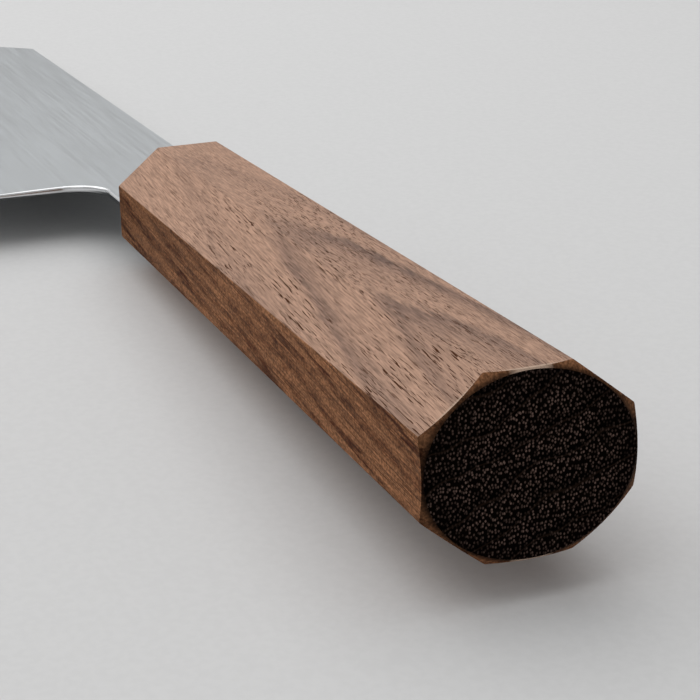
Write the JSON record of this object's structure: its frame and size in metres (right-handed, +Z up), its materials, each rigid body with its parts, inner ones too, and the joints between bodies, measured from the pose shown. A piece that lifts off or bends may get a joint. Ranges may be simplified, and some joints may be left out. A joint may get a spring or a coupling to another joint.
{
  "type": "bunka knife",
  "caption": "Kitchen knife with a tall, clip-tipped, flat-ground steel blade and a hidden tang bedded in a tapered octagonal walnut handle, lying on its side.",
  "frame": {"origin": "on the table under the middle of the knife's length and breadth, level with the lowest point of the handle's butt", "axes": "+X along the handle's axis towards the tip, +Y from the spine to the cutting edge, +Z up, square to the blade's middle plane"},
  "size_m": [0.3178, 0.0524, 0.0224],
  "materials": {
    "steel": "satin, polished on the choil",
    "walnut": "open pores, oiled, end grain nearly black",
    "adhesive": "cured, dull"
  },
  "bodies": {
    "root": {"blade": "steel", "handle": "walnut", "tang_bedding": "adhesive"}
  },
  "joints": []
}
